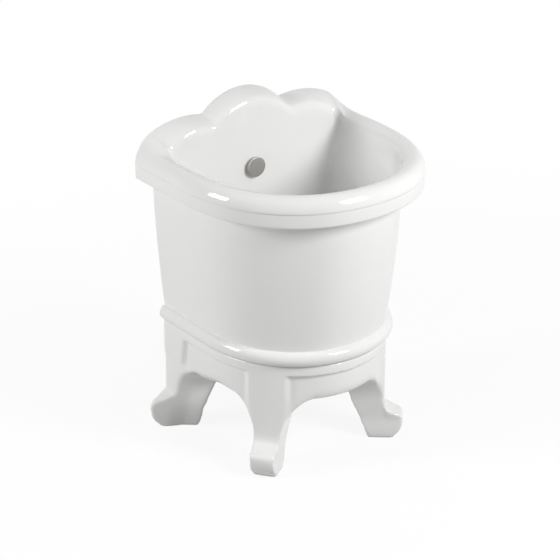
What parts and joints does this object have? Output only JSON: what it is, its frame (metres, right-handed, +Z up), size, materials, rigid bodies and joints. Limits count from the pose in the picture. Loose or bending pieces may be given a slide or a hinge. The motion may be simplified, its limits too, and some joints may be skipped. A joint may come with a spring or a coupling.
{
  "type": "mop sink",
  "caption": "Free-standing ceramic mop sink: D-shaped bowl with rolled rim, scalloped splashback and overflow, set on a splayed-leg stand, with a push-plug waste under the floor.",
  "frame": {"origin": "on the floor, midway across and midway between the front of the rim and the wall side", "axes": "+Z up, +Y towards the wall behind the sink, +X to the right of someone facing it"},
  "size_m": [0.4, 0.35, 0.55],
  "materials": {
    "glaze": "glossy white glaze",
    "sealant": "satin sealant",
    "cover_metal": "brushed",
    "brass_chromed": "polished chrome",
    "brass": "machined",
    "rubber": "matt",
    "white_plastic": "moulded",
    "spring_steel": "drawn wire"
  },
  "bodies": {
    "sink": {"basin": "glaze", "stand": "glaze", "bedding_seal": "sealant", "overflow_cap": "cover_metal", "overflow_sleeve": "white_plastic", "overflow_gasket": "rubber", "waste_body": "brass_chromed", "flange_gasket": "rubber", "waste_seal": "rubber", "slip_washer": "white_plastic", "backnut": "brass", "stem_guide": "white_plastic", "click_spring": "spring_steel", "tailpiece": "brass_chromed", "tailpiece_nut": "white_plastic", "tailpiece_washer": "rubber"},
    "plug": {"plug_cap": "brass_chromed", "plug_seal": "rubber", "plug_stem": "brass", "stem_clip": "brass"}
  },
  "joints": [
    {"name": "plug_slide", "type": "slide", "parent": "sink", "child": "plug", "axis": [0, 0, 1], "range_m": [0, 0.009], "deforming": ["click_spring"]}
  ]
}
